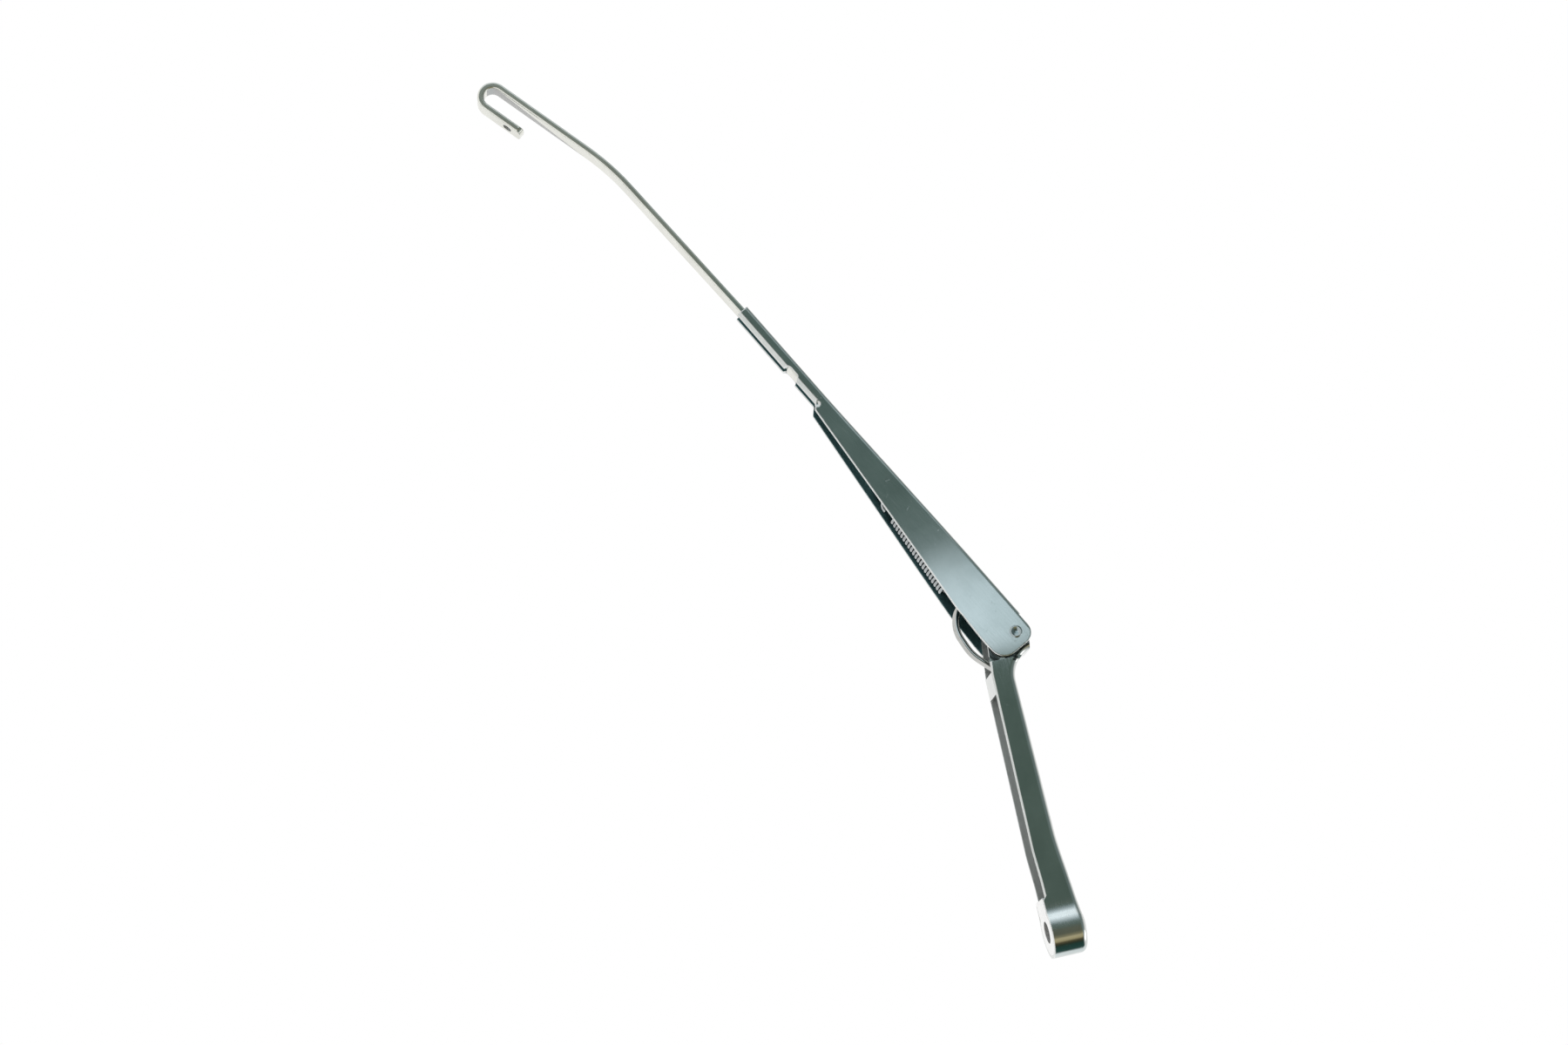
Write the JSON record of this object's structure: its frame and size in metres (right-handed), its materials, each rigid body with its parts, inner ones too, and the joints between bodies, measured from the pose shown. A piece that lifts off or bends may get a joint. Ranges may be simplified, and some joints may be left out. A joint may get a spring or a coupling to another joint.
{
  "type": "wiper arm",
  "caption": "Sprung windscreen wiper arm in steel: pressed head with a spindle bore, hinged tapering channel with an inner tension spring, and a flat bar ending in a U-hook for the blade.",
  "frame": {"origin": "on the spindle axis at the underside of the mounting head", "axes": "+X along the arm from the spindle towards the hook, +Z along the spindle away from the glass, +Y across the arm"},
  "size_m": [0.4581, 0.024, 0.1926],
  "materials": {
    "pressed_steel": "satin stainless sheet",
    "channel_steel": "satin stainless sheet",
    "bar_steel": "satin stainless flat bar with rounded edges",
    "insert_metal": "plain machined steel",
    "pin_steel": "bright turned steel",
    "spring_wire": "drawn spring wire",
    "link_wire": "drawn round wire"
  },
  "bodies": {
    "head": {"mounting_head": "pressed_steel", "spindle_insert": "insert_metal", "link_pin": "pin_steel"},
    "arm": {"spring_channel": "channel_steel", "arm_bar": "bar_steel", "hinge_rivet": "pin_steel"},
    "link": {"spring_link": "link_wire"},
    "spring": {"tension_spring": "spring_wire"}
  },
  "joints": [
    {"name": "arm_fold", "type": "hinge", "parent": "head", "child": "arm", "pos_m": [0.13535, 0, 0.0182], "axis": [0, -1, 0], "range_deg": [0, 75], "stiffness_Nm_per_rad": 0.8, "springref_deg": -85.94},
    {"name": "link_swing", "type": "hinge", "parent": "head", "child": "link", "pos_m": [0.12385, 0, 0.0093], "axis": [0, -1, 0], "range_deg": [0, 65.7]},
    {"name": "spring_stretch", "type": "slide", "parent": "link", "child": "spring", "axis": [0.9371, 0, -0.3491], "range_m": [0, 0.00765], "deforming": ["tension_spring"]}
  ],
  "couplings": [
    {"joint": "link_swing", "follows": "arm_fold", "ratio": 0.874},
    {"joint": "spring_stretch", "follows": "arm_fold", "m_per_rad": 0.005821}
  ]
}
